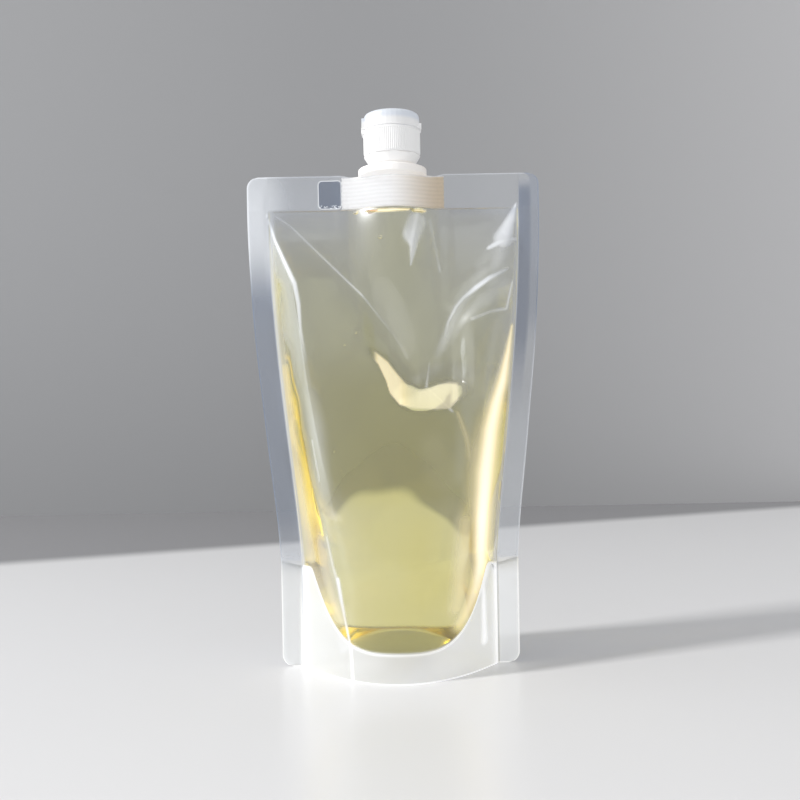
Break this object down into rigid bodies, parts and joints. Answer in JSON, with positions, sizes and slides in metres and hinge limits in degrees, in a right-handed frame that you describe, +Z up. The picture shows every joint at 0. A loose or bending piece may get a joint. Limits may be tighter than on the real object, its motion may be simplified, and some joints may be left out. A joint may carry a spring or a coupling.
{
  "type": "stand-up spout pouch of baby wash",
  "caption": "Clear stand-up film pouch filled with liquid wash, with heat-sealed margins, a round bottom gusset, a welded top spout and a flip-top screw cap.",
  "frame": {"origin": "middle of the footprint, on the plane that the pouch stands on", "axes": "+Z up along the pouch to the cap, +X to the right along the seal plane, -Y out of the front panel"},
  "size_m": [0.13, 0.0628, 0.2455],
  "materials": {
    "clear_film": "clear laminated film, glossy, frosted along the heat seals",
    "wash": "clear yellow-green liquid",
    "spout_plastic": "natural moulded polyethylene, satin",
    "cap_plastic": "white moulded polypropylene, satin",
    "lid_plastic": "thin natural moulded polypropylene, slightly see-through"
  },
  "bodies": {
    "pouch": {"front_film": "clear_film", "back_film": "clear_film", "bottom_gusset_film": "clear_film", "contents": "wash", "spout": "spout_plastic"},
    "ring": {"tamper_ring": "cap_plastic"},
    "cap": {"cap_base": "cap_plastic"},
    "lid": {"flip_lid": "lid_plastic"}
  },
  "joints": [
    {"name": "cap_turn", "type": "hinge", "parent": "pouch", "child": "ring", "pos_m": [0, 0, 0.2229], "axis": [0, 0, 1], "range_deg": [0, 540]},
    {"name": "cap_rise", "type": "slide", "parent": "ring", "child": "cap", "axis": [0, 0, 1], "range_m": [0, 0.0045]},
    {"name": "lid_hinge", "type": "hinge", "parent": "cap", "child": "lid", "pos_m": [-0.0133, 0, 0.23795], "axis": [0, -1, 0], "range_deg": [0, 160]}
  ],
  "couplings": [
    {"joint": "cap_rise", "follows": "cap_turn", "m_per_rad": 0.00047746}
  ]
}
